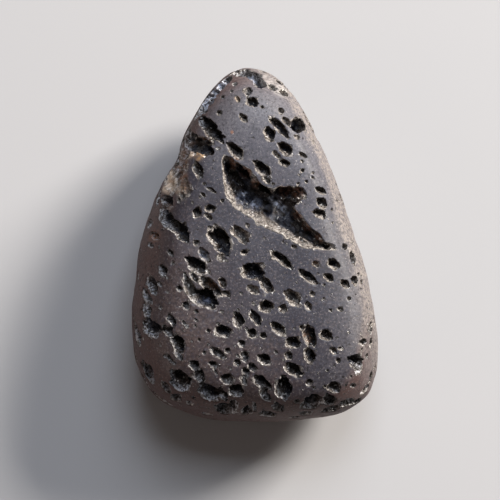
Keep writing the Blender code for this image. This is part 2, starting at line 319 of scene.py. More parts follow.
# %% The vesicles, one by one
VESICLES = [
    # round the narrow end
    (242, 73, 17, 8, 15, 1.2), (253, 75, 17, 8, 32, 1.2), (259, 82, 14, 8, 68, 1.2),
    (247, 91, 9, 8, 30, 0.9), (252, 102, 14, 9, 25, 1.1), (262, 107, 6, 3, 25),
    (237, 99, 10, 4, 60, 0.8), (243, 118, 12, 6, 40), (219, 113, 7, 5, 20),
    (226, 80, 12, 7, 40, 1.2), (220, 86, 13, 8, 55, 1.2), (214, 92, 15, 8, 50, 1.2),
    (208, 99, 17, 9, 58, 1.2), (202, 107, 16, 8, 62, 1.2), (222, 97, 4, 4),
    (208, 128, 33, 13, 42, 1.1), (190, 143, 21, 12, 68, 1.2), (203, 147, 23, 14, 56, 1.2),
    (193, 153, 7, 6), (211, 142, 9, 5, 45), (235, 151, 25, 10, 46, 0.9), (234, 84, 5, 4, 40, 0.8),
    (231, 91, 4, 3, 40, 0.8), (247, 96, 5, 3, 40, 0.8),
    # the broken notch
    (184, 153, 10, 6, 70, 0.7), (181, 163, 12, 6, 95, 0.7), (178, 174, 10, 6, 110, 0.7),
    (185, 182, 12, 5, 70, 0.6), (170, 188, 14, 6, 60, 0.4), (181, 196, 9, 5, 60, 0.8),
    (188, 191, 8, 4, 60, 0.8), (176, 180, 9, 4, 100, 0.5),
    # above and beside the cavity
    (281, 111, 9, 5, 55), (279, 127, 30, 8, 45, 0.9), (287, 122, 16, 6, 45, 0.7),
    (299, 125, 17, 13, 50, 1.4), (297, 137, 8, 5, 20, 0.7), (269, 134, 17, 10, 60),
    (285, 149, 20, 10, 40), (276, 155, 12, 5, 40, 0.6), (303, 155, 12, 4, 30), (314, 142, 4, 3),
    (272, 87, 10, 5, 50, 1.2), (284, 92, 11, 7, 40, 1.2), (262, 169, 26, 10, 45),
    (266, 180, 11, 7), (273, 184, 5, 3, 30), (284, 163, 13, 7, 25), (302, 171, 5, 5),
    (306, 182, 4.5, 3.5), (298, 184, 4, 4), (303, 193, 10, 4), (313, 173, 4, 3, 30),
    (313, 178, 5, 2.5, 30), (321, 191, 14, 6, 25), (322, 203, 13, 9, 25), (320, 214, 17, 8, 20),
    (332, 210, 3, 3), (333, 223, 3, 3), (338, 201, 4, 3, 60), (345, 247, 7, 5, 40),
    (353, 242, 4, 3), (283, 242, 3, 3), (294, 247, 7, 4, 10),
    # left shoulder
    (197, 170, 21, 9, 68), (204, 184, 5, 3, 30), (211, 190, 12, 3.5, 25), (203, 195, 9, 3),
    (166, 202, 19, 11, 32, 1.1), (178, 201, 6, 4, 60), (197, 213, 10, 10, 0),
    (210, 209, 12, 8, 15), (208, 217, 12, 5, 40, 0.6), (165, 218, 23, 12, 42, 1.2),
    (172, 225, 18, 10, 45, 1.3), (180, 232, 25, 13, 44, 1.2), (192, 203, 4, 3),
    (149, 224, 10, 5, 60), (154, 236, 14, 7, 30), (150, 245, 9, 5, 20), (196, 243, 8, 6, 40),
    (219, 241, 33, 17, 50), (240, 235, 24, 12, 50, 0.5), (214, 192, 6, 3), (222, 201, 5, 4),
    # left side, lower half
    (170, 253, 10, 5, 45), (162, 271, 14, 8, 55), (151, 286, 18, 9, 55), (159, 284, 8, 4, 50),
    (146, 297, 20, 6, 62), (146, 311, 16, 7, 62), (204, 255, 19, 8, 52, 0.6),
    (196, 265.5, 29, 12, 37, 1.1), (193, 277, 14, 5, 50), (205, 299, 30, 16, 30, 1.3),
    (210, 287, 29, 12, 45, 0.7), (189, 288, 31, 10, 66, 0.5), (179, 289, 7, 6, 0),
    (186, 306, 9, 8, 0), (196, 312, 6, 4, 0), (171, 320, 16, 7, 58), (150, 329, 22, 14, 30),
    (138, 338, 14, 7, 70), (167, 331, 16, 8, 40), (185, 325, 14, 4, 55, 0.45), (208, 331, 5, 4),
    (195, 326, 4, 3),
    # middle
    (244, 253, 8, 6, 20), (221, 258, 10, 8, 20, 0.7), (227, 261, 4, 3), (235, 255, 3, 2),
    (281.5, 260, 29, 8, 36), (253, 272, 25, 16, 20), (266, 285, 20, 10, 60, 0.9),
    (253, 290, 15, 8, 25, 0.5), (308, 277, 25, 8, 32, 0.9), (292, 298, 22, 12, 40, 0.6),
    (222, 283, 12, 7, 55), (226, 294, 11, 6, 20), (266, 307, 15, 12, 20),
    (283, 309, 10, 8, 0, 0.7), (308, 306, 11, 6, 55, 0.7), (238, 320, 18, 10, 75),
    (238, 310, 4, 3), (255, 318, 20, 8, 58), (223, 332, 18, 12, 15), (252, 334, 11, 9, 10),
    (263, 336, 8, 6, 20), (278, 329, 22, 9, 38, 0.8), (301, 328, 7, 4, 60),
    # right side
    (315.5, 264.5, 9, 6, 35, 0.6), (333.5, 264.5, 15, 9, 40), (328.5, 278, 13, 7, 30),
    (345, 284, 12, 7, 30), (355, 281, 10, 8), (359, 275, 4, 3), (362, 282, 5, 3, 60),
    (353, 258, 16, 5, 80), (349, 299, 5, 4), (324, 299, 4, 3), (312, 294, 8, 5, 55),
    (340, 310, 8, 4, 20), (371, 329, 9, 7, 70), (366, 318, 2, 2), (371, 320, 2, 2),
    (368, 324, 2, 2), (362, 338, 3, 2), (326, 336, 14, 10, 10), (293, 343, 17, 11, 15),
    (309, 336, 24, 12, 75), (309, 356, 18, 10, 70), (333, 351, 10, 6, 30, 0.7),
    (341, 349, 8, 4, 0, 0.6), (338, 361, 6, 5, 40), (357, 362, 16, 13, 5),
    (359, 369, 13, 9, 85, 0.6), (364, 343, 8, 7, 0), (371, 343, 5, 6), (362, 350, 3, 3),
    (367, 357, 4, 4), (375, 368, 8, 2, -30), (327, 371, 4, 3), (343, 377, 4, 2, 20),
    (351, 377, 3, 3),
    # foot, left half
    (147, 373, 26, 10, 54, 1.2), (177, 344, 20, 12, 50, 1.2), (178, 356, 15, 5, 45),
    (170, 360, 18, 5, 50, 0.6), (194, 366, 13, 9), (199, 377, 14, 10, 30),
    (179, 382, 28, 16, 50, 1.2), (165, 388, 15, 6, 55), (176, 399, 13, 8, 25),
    (190, 404, 9, 5, 15), (208, 394, 27, 13, 40, 1.1), (222, 395, 18, 7, 58),
    (213, 365, 12, 6, 20), (215, 372, 10, 3, 50, 0.8), (204, 353, 5, 4),
    (218, 354, 20, 8, 35, 0.7), (199, 340, 4, 3), (241, 344, 9, 7, 45), (227, 351, 7, 6),
    (244, 357, 12, 8, 60), (237, 363, 8, 7, 30), (252, 368, 11, 8, 40), (264, 360, 16, 10, 25),
    (245, 373, 12, 7, 60), (227, 380, 15, 10, 10, 1.1), (243, 381, 12, 6, 50),
    (236, 392, 17, 12, 20, 1.1), (262, 384, 23, 11, 42), (265, 397, 19, 7, 45),
    (283, 389, 26, 16, 76, 1.1), (225, 410, 23, 11, 20, 1.2), (234, 404, 10, 5, 30),
    (247, 412, 12, 9, 0, 1.2), (254, 408, 11, 4, 80), (268, 415, 16, 7, 20, 1.2),
    (278, 408, 13, 7, 40, 1.2), (205, 414, 9, 5, 20), (156, 402, 8, 4, 40),
    # foot, right half
    (293, 370, 22, 11, 38), (288, 356, 9, 8, 80), (303, 374, 4, 3), (301, 377, 3, 2),
    (309, 383, 8, 7, 60), (334, 389, 14, 11, 20, 0.9), (353, 386, 6, 5, 35, 0.8),
    (312, 404, 18, 14, 10, 1.1), (329, 401, 14, 10, 50), (297, 402, 6, 5),
    (305, 414, 12, 6, 10, 1.2), (294, 418, 10, 6, 0, 1.2), (331, 410, 16, 8, 0, 1.2),
    (346, 404, 12, 8, 0, 1.1), (365, 391, 12, 6, -40, 0.8),
]

# The long cavity is a string of bubbles that tore into each other.
CAVITY_CELLS = [
    (241, 174, 26, 12, 48, 1.8), (262, 191, 24, 10, 42, 1.8), (291, 212, 26, 6, 42, 1.4),
    (316, 234, 20, 4, 38, 0.9), (291, 193, 22, 9, 20, 1.2), (299, 191, 12, 7, 30),
    (247, 197, 16, 8, 45, 1.7), (286, 196, 28, 15, 15, 1.15), (273, 203, 10, 5, 60, 1.8),
]
print("vesicles set by hand:", len(VESICLES) + len(CAVITY_CELLS))


# %% Points that carry a turn and a size
LEAN = math.radians(31)
# A hole and its dish: shift to the side in widths, half size, lift in depths, and lean.
HOLE = (0.09, 0.47, -0.14, LEAN)
DISH = (0.0, 0.70, 0.6, -0.17)
# What width and length give to a hole's depth, and the dish's depth in widths.
FROM_WIDTH = 0.72
FROM_LENGTH = 0.18
DISH_DEPTH = 0.55
# A slope draws a mouth out to this many times what the sheet shows, at most.
STRETCH = 1.9


def span(x, y, over, down):
    """From one side of a hole's mouth to the other on the stone, as the sheet shows it."""
    start, _ = drop(x - over / 2, y - down / 2)
    end, _ = drop(x + over / 2, y + down / 2)
    shown = math.hypot(over, down) * SQUARE
    return (end - start) * min(1.0, STRETCH * shown / (end - start).length)


def store(mesh, name, values, kind="FLOAT"):
    """Keep a number or a vector for each point of a mesh under a name."""
    layer = mesh.attributes.new(name, kind, "POINT")
    field = "value" if kind == "FLOAT" else "vector"
    layer.data.foreach_set(field, np.array(values, dtype=np.float32).ravel())


def hole_and_dish(x, y, length, width, heading=35, depth=1):
    """Place, turn and half sizes of a vesicle's hole and of its dish."""
    point, normal = drop(x, y)
    turn = math.radians(heading)
    along = span(x, y, math.cos(turn) * length, math.sin(turn) * length)
    wide = span(x, y, math.sin(turn) * width, -math.cos(turn) * width)
    forward = (along - normal * along.dot(normal)).normalized()
    basis = Matrix((forward, normal.cross(forward), normal)).transposed()
    hole = depth * (FROM_WIDTH * width + FROM_LENGTH * length) * SQUARE
    dish = DISH_DEPTH * wide.length
    for deep, (off, share, lift, lean) in ((hole, HOLE), (dish, DISH)):
        place = point + basis.col[1] * off * wide.length + normal * lift * deep
        sizes = (share * along.length * MM, share * wide.length * MM, deep * MM)
        yield place * MM, (basis @ Matrix.Rotation(lean, 3, "X")).to_euler(), sizes


def bubble_points(name, rows):
    """A mesh of loose points, two for each row, that carry their turns and half sizes."""
    points, turns, sizes = zip(*(bubble for row in rows for bubble in hole_and_dish(*row)))
    mesh = bpy.data.meshes.new(name)
    mesh.from_pydata(points, [], [])
    store(mesh, "turn", turns, "FLOAT_VECTOR")
    store(mesh, "size", sizes, "FLOAT_VECTOR")
    return add_object(name, mesh, helpers)


vesicle_points = bubble_points("vesicle_points", VESICLES + CAVITY_CELLS)
print("points:", len(vesicle_points.data.vertices))

# %% [markdown]
# ## The long cavity
#
# The torn cavity has a rim of its own that no single bubble gives. A closed sack follows that
# rim: rings inside it draw in towards the line of its deepest floor, which runs nearer the
# upper side, so that the lower wall slopes and catches the light and the upper one is steep.
# The rim is ragged, the floor lumpy, and the right end shallower than the left.

# %% The cavity's sack
CAVITY_RIM = [
    (222, 157), (229, 155), (238, 162), (248, 166), (256, 176), (263, 185), (272, 187), (283, 185),
    (294, 185), (302, 188), (307, 194), (300, 200), (295, 206), (302, 215), (308, 224), (315, 232),
    (325, 241), (335, 245), (336, 251), (319, 250), (305, 249), (291, 243), (280, 236), (269, 231),
    (258, 226), (252, 220), (241, 214), (231, 205), (224, 192), (222, 173),
]
CAVITY_FLOOR = [
    (228, 166), (238, 180), (249, 191), (264, 199), (279, 206), (294, 218), (309, 231), (323, 244),
]
# How far in from the rim, as a share of the way to the deepest line, at each share of the depth.
CAVITY_WALL = [
    (-0.5, 1.0), (0.0, 1.0), (0.06, 0.92), (0.13, 0.83), (0.21, 0.74), (0.30, 0.66), (0.40, 0.59),
    (0.52, 0.53), (0.65, 0.47), (0.78, 0.40), (0.90, 0.30), (1.0, 0.14),
]
CAVITY_DEPTH = 1.9
# Size and pitch of the rim's rags and of the floor's lumps, and their change with depth.
RAGS = (0.16, 0.22, 9)
LUMPS = (0.7, 0.12, 4)
# Across the sheet the depth falls off from here, over so many squares, by this share.
TAPER_FROM = 268
TAPER_OVER = 50
TAPER = 0.5


def clamp(value, low=0.0):
    """The value itself, but no less than low and no more than 1."""
    return min(1.0, max(low, value))


def smooth_loop(points, steps):
    """A closed loop of points with `steps` points between each pair, curving through them all."""
    loop = []
    for i in range(len(points)):
        a, b, c, d = (Vector(points[(i + k) % len(points)]) for k in (-1, 0, 1, 2))
        for t in (j / steps for j in range(steps)):
            pull = (2 * a - 5 * b + 4 * c - d) * t * t + (3 * (b - c) + d - a) * t**3
            loop.append(b + ((c - a) * t + pull) / 2)
    return loop


def nearest_on(line, place):
    """The nearest point to a place on a line of points."""
    spots = []
    for a, b in zip(line, line[1:]):
        share = (place - a).dot(b - a) / (b - a).length_squared
        spots.append(a.lerp(b, clamp(share)))
    return min(spots, key=lambda spot: (spot - place).length)


def uneven(place, share, size, pitch, change):
    """Noise at a place of the rim and a share of the depth."""
    return size * noise.noise(place.to_3d() * pitch + Vector((0, 0, change * share)))


def cavity_sack():
    """The closed sack, ring by ring from over the rim down to the floor."""
    rim = smooth_loop(CAVITY_RIM, 5)
    floor = [Vector(place) for place in CAVITY_FLOOR]
    form = bmesh.new()
    rings = []
    for share, draw in CAVITY_WALL:
        ring = []
        for place in rim:
            spine = nearest_on(floor, place)
            ragged = 1.0 + uneven(place, share, *RAGS)
            point, _ = drop(*(spine + (place - spine) * draw * ragged))
            taper = 1.0 - TAPER * clamp((spine.x - TAPER_FROM) / TAPER_OVER)
            sink = CAVITY_DEPTH * taper * share * (1 + uneven(place, share, *LUMPS))
            ring.append(form.verts.new(point - Vector((0, 0, sink))))
        rings.append(ring)
    for above, below in zip(rings, rings[1:]):
        for i in range(len(above)):
            j = (i + 1) % len(above)
            form.faces.new((above[i], above[j], below[j], below[i]))
    form.faces.new(rings[0])
    form.faces.new(rings[-1])
    bmesh.ops.triangulate(form, faces=form.faces)
    bmesh.ops.scale(form, vec=(MM, MM, MM), verts=form.verts)
    return mesh_object(form, "cavity_sack", helpers)


sack = cavity_sack()
print("sack faces:", len(sack.data.polygons))

# %% [markdown]
# ## One small class for node trees
#
# Both kinds of node tree in this lesson are written as Python. A Wire is an output socket that
# can be added, subtracted, multiplied and raised to a power like a number, and `Graph.node`
# makes any other node from its type, its settings and what goes into its sockets.


# %% Graph and Wire
class Wire:
    """An output socket that takes part in sums."""

    def __init__(self, graph, socket):
        self.graph, self.socket = graph, socket

    def math(self, operation, *values):
        return self.graph.sum(operation, self, *values)

    def __add__(self, other):
        return self.math("ADD", other)

    def __sub__(self, other):
        return self.math("SUBTRACT", other)

    def __rsub__(self, other):
        return self.graph.sum("SUBTRACT", other, self)

    def __mul__(self, other):
        return self.math("MULTIPLY", other)

    def __pow__(self, other):
        return self.math("POWER", other)

    __radd__ = __add__
    __rmul__ = __mul__


class Graph:
    """Adds nodes to a tree."""

    def __init__(self, tree):
        self.tree = tree

    def node(self, kind, settings=None, inputs=None, output=0):
        """The chosen output of a new node, its settings made before its sockets are filled."""
        node = self.tree.nodes.new(kind)
        for key, value in (settings or {}).items():
            setattr(node, key, value)
        for key, value in (inputs or {}).items():
            for item in value if isinstance(value, list) else [value]:
                if isinstance(item, Wire):
                    self.tree.links.new(item.socket, node.inputs[key])
                else:
                    node.inputs[key].default_value = item
        return Wire(self, node.outputs[output])

    def sum(self, operation, *values):
        """A Math node on values, each a number or a Wire."""
        return self.node("ShaderNodeMath", {"operation": operation}, dict(enumerate(values)))


print("ready to wire nodes")

# %% [markdown]
# ## Carving the bubbles
#
# Hundreds of bubbles repeat, so Geometry Nodes does the carving. The tree sets a ragged bubble
# on each listed point, scatters more over the sides and the underside and small pores over
# the whole stone, with their long axes down the same flow direction, melts them all into one
# cutter together with the sack and a block under the resting level, and takes that cutter from
# the pebble.

# %% The carving tree
carving = bpy.data.node_groups.new("carve_vesicles", "GeometryNodeTree")
SOCKETS = {
    "Geometry": "Geometry", "Vesicles": "Object", "Bubbles": "Collection", "Sack": "Object",
    "Spacing": "Float", "Shortest": "Float", "Longest": "Float", "Flow": "Vector",
    "Pore spacing": "Float", "Pore size": "Float", "Seed": "Int", "Stone": "Material",
}
# Only the spacing limits how many points are strewn, and most bubbles are short.
DENSEST = 4e6
MOSTLY_SHORT = 2.2
# A strewn bubble's width in lengths, and its half depth in widths.
SLIM_TO_STOUT = (0.42, 0.8)
STREWN_DEPTH = 0.7
# The block's size in metres.
BLOCK = (0.06, 0.06, 0.01)
for name, kind in SOCKETS.items():
    carving.interface.new_socket(name, in_out="INPUT", socket_type="NodeSocket" + kind)
carving.interface.new_socket("Geometry", in_out="OUTPUT", socket_type="NodeSocketGeometry")

tree = Graph(carving)
group_in = carving.nodes.new("NodeGroupInput")
given = {name: Wire(tree, group_in.outputs[name]) for name in SOCKETS}


def stored(name, kind="FLOAT_VECTOR"):
    """What the points carry under a name."""
    return tree.node("GeometryNodeInputNamedAttribute", {"data_type": kind}, {"Name": name})


def chance(low, high, seed):
    """A random number from low to high for each point."""
    inputs = {2: low, 3: high, "Seed": given["Seed"] + seed}
    return tree.node("FunctionNodeRandomValue", {"data_type": "FLOAT"}, inputs, output=1)


def bubbles_on(points, turn, size):
    """Bubbles of every kind on points."""
    kinds = tree.node(
        "GeometryNodeCollectionInfo", {},
        {"Collection": given["Bubbles"], "Separate Children": True, "Reset Children": True},
    )
    inputs = {"Points": points, "Instance": kinds, "Pick Instance": True}
    inputs |= {"Rotation": turn, "Scale": size}
    return tree.node("GeometryNodeInstanceOnPoints", {}, inputs)


def scattered(spacing, mask, shortest, longest, seed):
    """Bubbles strewn over the pebble, long axes down the flow."""
    settings = {"distribute_method": "POISSON"}
    inputs = {"Mesh": given["Geometry"], "Distance Min": spacing, "Density Max": DENSEST}
    inputs |= {"Density Factor": stored(mask, "FLOAT"), "Seed": given["Seed"] + seed}
    points = tree.node("GeometryNodeDistributePointsOnFaces", settings, inputs)
    normal = Wire(tree, points.socket.node.outputs["Normal"])
    upright = tree.node(
        "FunctionNodeAlignRotationToVector", {"axis": "Z"}, {"Vector": normal},
    )
    turn = tree.node(
        "FunctionNodeAlignRotationToVector", {"axis": "X", "pivot_axis": "Z"},
        {"Rotation": upright, "Vector": given["Flow"]},
    )
    turn = tree.node(
        "FunctionNodeRotateRotation", {"rotation_space": "LOCAL"},
        {"Rotation": turn, "Rotate By": (LEAN, 0, 0)},
    )
    length = shortest + (longest - shortest) * chance(0.0, 1.0, seed + 1) ** MOSTLY_SHORT
    width = length * chance(*SLIM_TO_STOUT, seed + 2)
    half_sizes = {0: length * 0.5, 1: width * 0.5, 2: width * STREWN_DEPTH}
    size = tree.node("ShaderNodeCombineXYZ", {}, half_sizes)
    return bubbles_on(points, turn, size)


laid = tree.node("GeometryNodeObjectInfo", {}, {"Object": given["Vesicles"]}, output="Geometry")
by_hand = bubbles_on(laid, stored("turn"), stored("size"))
strewn = scattered(given["Spacing"], "hidden", given["Shortest"], given["Longest"], seed=10)
largest = given["Pore size"]
pores = scattered(given["Pore spacing"], "porous", largest * 0.5, largest, seed=20)
torn = tree.node("GeometryNodeObjectInfo", {}, {"Object": given["Sack"]}, output="Geometry")
block = tree.node("GeometryNodeMeshCube", {}, {"Size": BLOCK})
under = tree.node(
    "GeometryNodeTransform", {}, {"Geometry": block, "Translation": (0, 0, -BLOCK[2] / 2)},
)
cutter = tree.node(
    "GeometryNodeMeshBoolean", {"operation": "UNION", "solver": "MANIFOLD"},
    {"Mesh 2": [by_hand, strewn, pores, torn, under]},
)
carved = tree.node(
    "GeometryNodeMeshBoolean", {"operation": "DIFFERENCE", "solver": "MANIFOLD"},
    {"Mesh 1": given["Geometry"], "Mesh 2": cutter},
)
real = tree.node("GeometryNodeRealizeInstances", {}, {"Geometry": carved})
dressed = tree.node(
    "GeometryNodeSetMaterial", {}, {"Geometry": real, "Material": given["Stone"]},
)
carving.links.new(dressed.socket, carving.nodes.new("NodeGroupOutput").inputs[0])
print("carving nodes:", len(carving.nodes))

# %% [markdown]
# ## Satin skin, broken inside
#
# The tumbler left the skin dark, close-grained and satin, with pale specks of feldspar and pin
# pores. Painted reflection turns it cooler towards one side and browner towards the other, and
# painted sheen, painted light and painted shade lighten the tip and the right flank and darken
# the unlit flanks. Inside the bubbles the rock is as it broke: rough and partly glassy, with pale
# dust caught under the rim. Its walls are painted near black as shade where deep, and some crumbs
# and crystals carry painted glints. One material covers both, told apart by the depth that each
# point lies below the skin. The mesh carries that depth as an attribute, and beside it the tilt
# of the skin there, 0 where the skin lies level and 1 where it stands upright.


# %% The basalt
basalt = bpy.data.materials.new("basalt_worn_and_broken")
basalt.use_nodes = True
rock = Graph(basalt.node_tree)
shader = basalt.node_tree.nodes["Principled BSDF"]

place = rock.node("ShaderNodeTexCoord", output="Object")
millimetres = rock.node(
    "ShaderNodeVectorMath", {"operation": "SCALE"}, {0: place, "Scale": 1 / MM},
)
below = rock.node("ShaderNodeAttribute", {"attribute_name": "below_skin"}, output="Fac")
tilt = rock.node("ShaderNodeAttribute", {"attribute_name": "skin_tilt"}, output="Fac")


def vector(operation, *values, output=0):
    """A Vector Math node on values."""
    settings = {"operation": operation}
    return rock.node("ShaderNodeVectorMath", settings, dict(enumerate(values)), output)


def grain(scale, detail=2.0, rough=0.5, shift=0.0):
    """Noise with `scale` lumps to the millimetre, from 0 to 1."""
    moved = vector("ADD", millimetres, (shift, shift, 0))
    inputs = {"Vector": moved, "Scale": scale, "Detail": detail, "Roughness": rough}
    return rock.node("ShaderNodeTexNoise", {}, inputs)


def rise(value, low, high):
    """0 under low, 1 over high, and a smooth climb between."""
    settings = {"interpolation_type": "SMOOTHSTEP"}
    return rock.node("ShaderNodeMapRange", settings, {0: value, 1: low, 2: high, 3: 0.0, 4: 1.0})


def mix(share, first, second):
    """A colour that goes from the first to the second as share goes from 0 to 1."""
    colours = [c if isinstance(c, Wire) else (*c, 1.0) for c in (first, second)]
    settings = {"data_type": "RGBA"}
    inputs = {0: share, 6: colours[0], 7: colours[1]}
    return rock.node("ShaderNodeMix", settings, inputs, output=2)


print("helpers for the basalt are ready")

# %% Colour of the skin
# The stone's dark skin with painted reflection: a cool painted sky tint and a warm painted bounce.
SKIN_PAINTED_SKY_TINT = (0.022, 0.021, 0.032)
SKIN_PAINTED_WARM_BOUNCE = (0.056, 0.037, 0.034)
ASH = (0.056, 0.052, 0.064)
BLUISH = (0.040, 0.045, 0.070)
BROWNISH = (0.080, 0.056, 0.052)
# Painted sheen and painted light for the tip and the tip's left.
PAINTED_TIP_SHEEN = (0.069, 0.067, 0.085)
PAINTED_TIP_LIGHT = (0.120, 0.112, 0.122)
# Painted light on the right flank.
PAINTED_FLANK_LIGHT = (0.095, 0.090, 0.102)
# Dust and painted light on the shoulder that faces the light.
DUST_AND_PAINTED_LIGHT = (0.25, 0.215, 0.19)
SHADE = (0.062, 0.025, 0.019)
PALE_GRAIN = (0.19, 0.165, 0.165)
DARK_GRAIN = (0.018, 0.015, 0.017)
FELDSPAR = (0.36, 0.33, 0.31)
PORE = (0.010, 0.008, 0.009)

axes = rock.node("ShaderNodeSeparateXYZ", {}, {0: millimetres}).socket.node.outputs
across, along, height = (Wire(rock, axis) for axis in axes)
# Painted reflection: the skin turns from a cool sky tint to a warm bounce towards the lower left.
painted_reflection_side = rise(across * -0.8 + along * -0.55 + grain(0.25, 3.0) * 8.0, 4.0, 15.0)
skin = mix(painted_reflection_side, SKIN_PAINTED_SKY_TINT, SKIN_PAINTED_WARM_BOUNCE)
mottle = grain(1.1, 4.0, 0.6, 31.0)
skin = mix(rise(mottle, 0.35, 0.75) * 0.4, skin, ASH)
tint = grain(4.2, 2.0, 0.6, 17.0)
skin = mix(rise(tint, 0.52, 0.70) * 0.5, skin, BLUISH)
skin = mix(rise(1.0 - tint, 0.54, 0.72) * 0.4, skin, BROWNISH)
lit_side = rise(across * 0.9 + along * 0.35 + mottle * 4.0, 4.0, 9.0)
# Painted sheen: the skin gets paler towards the tip and at the tip's left.
painted_sheen_side = rise(along + across * 0.5 + mottle * 5.0, 2.0, 13.0)
skin = mix(painted_sheen_side * 0.8, skin, PAINTED_TIP_SHEEN)
skin = mix(rise(along - across * 0.5, 7.0, 12.5) * 0.55, skin, PAINTED_TIP_LIGHT)
# Painted light: the skin of the right flank is made paler.
skin = mix(rise(across - along * 0.3, 6.5, 11.0) * 0.4, skin, PAINTED_FLANK_LIGHT)
# The lit shoulder gets dust and painted light together, paler where the light falls.
lit_shoulder = lit_side * rise(tilt + mottle * 0.3 - rise(along, 0.0, 5.0) * 0.14, 0.22, 0.52)
dust_and_painted_light = lit_shoulder * (0.25 + rise(tint, 0.36, 0.64) * 0.6)
skin = mix(dust_and_painted_light, skin, DUST_AND_PAINTED_LIGHT)
shaded = (1.0 - lit_side) * rise(tilt + mottle * 0.15, 0.18, 0.50)
skin = mix(shaded * 0.9, skin, SHADE)
fine = grain(5.0, 3.0, 0.7, 12.0)
skin = mix(rise(fine, 0.52, 0.68) * (0.38 - shaded * 0.2), skin, PALE_GRAIN)
skin = mix(rise(1.0 - fine, 0.50, 0.66) * 0.75, skin, DARK_GRAIN)
specks = rise(grain(7.5, 1.0, 0.5, 71.0), 0.70, 0.75)
skin = mix(specks * 0.6, skin, FELDSPAR)
pin_pores = 1.0 - rise(grain(3.6, 0.0, 0.5, 55.0), 0.17, 0.21)
skin = mix(pin_pores * 0.9, skin, PORE)
print("nodes for the skin:", len(basalt.node_tree.nodes))

# %% Colour of the broken inside
DARK_WALL = (0.050, 0.038, 0.032)
PALE_COOL_SIDE = (0.27, 0.24, 0.215)
# Pale walls on the warm side carry a painted sky reflection, grey-blue over the tan.
PAINTED_SKY_WALL = (0.23, 0.225, 0.235)
# Painted glints on the brightest crumbs.
PAINTED_GLINT_CRUMB = (0.55, 0.52, 0.49)
# Blue-white painted glints for the walls of the unlit flanks.
PAINTED_BLUE_GLINT = (0.62, 0.65, 0.74)
# Floor colours are painted shade over the rock's dark glass, near black in the deep holes.
BLACK_FLOOR_PAINTED_SHADE = (0.022, 0.016, 0.013)
BLUE_FLOOR = (0.028, 0.032, 0.048)
FLOOR_CRUMB = (0.075, 0.066, 0.064)
RIM_DUST = (0.38, 0.35, 0.32)
# Pale crystals with painted glints.
CRYSTAL_AND_PAINTED_GLINT = (0.75, 0.74, 0.72)

# Painted shade: with depth below the skin the walls turn to the near-black floor colour.
deep = rise(below + grain(2.2, 3.0, 0.6, 9.0) * 0.5, 0.50, 1.05)
crumbs = grain(4.2, 3.0, 0.7, 5.0)
# Painted reflection: on the warm side the pale walls take a grey-blue painted sky tint.
wall = mix(rise(crumbs, 0.40, 0.60), DARK_WALL, mix(painted_reflection_side, PALE_COOL_SIDE, PAINTED_SKY_WALL))
# Painted glints: the brightest crumbs of the walls.
wall = mix(rise(crumbs, 0.60, 0.74) * 0.8, wall, PAINTED_GLINT_CRUMB)
# Painted glints: blue-white crumbs on the walls of the unlit flanks.
wall = mix(shaded * rise(crumbs, 0.46, 0.62) * 0.6, wall, PAINTED_BLUE_GLINT)
cool = rise(grain(0.9, 2.0, 0.5, 77.0), 0.46, 0.60)
painted_shade_floor = mix(cool, BLACK_FLOOR_PAINTED_SHADE, BLUE_FLOOR)
painted_shade_floor = mix(rise(crumbs, 0.54, 0.70), painted_shade_floor, FLOOR_CRUMB)
wall = mix(deep, wall, painted_shade_floor)
under_rim = rise(below, 0.03, 0.07) * (1.0 - rise(below, 0.10, 0.22))
rim_dust = under_rim * rise(mottle + crumbs, 0.80, 1.10)
wall = mix(rim_dust * 0.6, wall, RIM_DUST)
# Crystals painted nearly white as glints.
crystals_and_painted_glints = rise(grain(4.2, 0.0, 0.5, 91.0), 0.75, 0.78)
wall = mix(crystals_and_painted_glints * 0.9, wall, CRYSTAL_AND_PAINTED_GLINT)
print("nodes with the inside:", len(basalt.node_tree.nodes))

# %% [markdown]
# Iron in the rock has rusted in a few holes, mostly along the side with the notch, and pale tan
# mud sits on one ledge there. A few spots are painted light rather than stains: painted blue and
# white highlights on glassy ridges and shoulders, and a glassy tone with painted sheen on glassy
# floors. Each stain is a soft spot around a line of sight, broken up by noise. One that lies only
# in a hole reaches down to its floor, and one that also covers skin ends as far down as it is
# wide. Dark crumbs stick to every broken wall but the tan ledge.

# %% Rust and tan stains, painted highlights and sheen
RUST = (0.30, 0.115, 0.045)
BROWN = (0.17, 0.085, 0.045)
TAN = (0.95, 0.76, 0.58)
SAND = (0.46, 0.34, 0.24)
# Painted blue-white highlights on glassy ridges and the tip's left shoulder.
PAINTED_BLUE_HIGHLIGHT = (0.75, 0.80, 0.95)
# Painted white highlights on the tip's right shoulder.
PAINTED_WHITE_HIGHLIGHT = (0.85, 0.80, 0.75)
UMBER = (0.26, 0.125, 0.075)
ORANGE = (0.50, 0.30, 0.13)
MUD = (0.16, 0.14, 0.125)
# A bluish glassy tone with painted sheen on glassy floors.
GLASS_AND_PAINTED_SHEEN = (0.13, 0.15, 0.22)
DARK_CRUMB = (0.030, 0.024, 0.021)
# Millimetres up and down the line of sight that a stain in a hole reaches.
HOLE_REACH = 2.2
